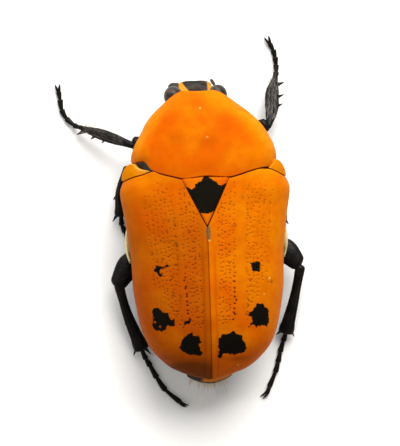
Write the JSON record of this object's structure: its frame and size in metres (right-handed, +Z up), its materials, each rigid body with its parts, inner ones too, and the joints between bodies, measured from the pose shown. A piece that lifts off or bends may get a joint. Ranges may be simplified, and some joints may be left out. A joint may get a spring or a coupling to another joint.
{
  "type": "flower beetle model",
  "caption": "Life-size still model of an orange flower beetle with black spots, resting on its breast plate and feet.",
  "frame": {"origin": "on the floor, on the flat of the breast plate that the body rests on, below the animal's mid-line", "axes": "+Y towards the head, +X to the animal's right, +Z up"},
  "size_m": [0.0222, 0.0345, 0.0094],
  "materials": {
    "orange_shell": "satin, slightly waxy cuticle with rows of fine punctures and black spots",
    "black_shell": "polished black cuticle, finely punctured",
    "black_leg": "glossy black cuticle with pale setae",
    "pale_plate": "chalky cream-yellow cuticle",
    "eye": "purplish grey-brown faceted eye"
  },
  "bodies": {
    "root": {"abdomen": "black_shell", "antenna_left": "black_leg", "antenna_right": "black_leg", "coxa_front_left": "black_leg", "coxa_front_right": "black_leg", "coxa_hind_left": "black_leg", "coxa_hind_right": "black_leg", "coxa_mid_left": "black_leg", "coxa_mid_right": "black_leg", "elytron_left": "orange_shell", "elytron_right": "orange_shell", "eye_left": "eye", "eye_right": "eye", "femur_front_left": "black_leg", "femur_front_right": "black_leg", "femur_hind_left": "black_leg", "femur_hind_right": "black_leg", "femur_mid_left": "black_leg", "femur_mid_right": "black_leg", "head": "black_shell", "mesepimeron_left": "orange_shell", "mesepimeron_right": "orange_shell", "metepimeron_left": "pale_plate", "metepimeron_right": "pale_plate", "mouthparts": "black_shell", "prothorax": "orange_shell", "pygidium": "black_shell", "scutellum": "orange_shell", "tarsus_front_left": "black_leg", "tarsus_front_right": "black_leg", "tarsus_hind_left": "black_leg", "tarsus_hind_right": "black_leg", "tarsus_mid_left": "black_leg", "tarsus_mid_right": "black_leg", "thorax": "black_shell", "tibia_front_left": "black_leg", "tibia_front_right": "black_leg", "tibia_hind_left": "black_leg", "tibia_hind_right": "black_leg", "tibia_mid_left": "black_leg", "tibia_mid_right": "black_leg"}
  },
  "joints": []
}
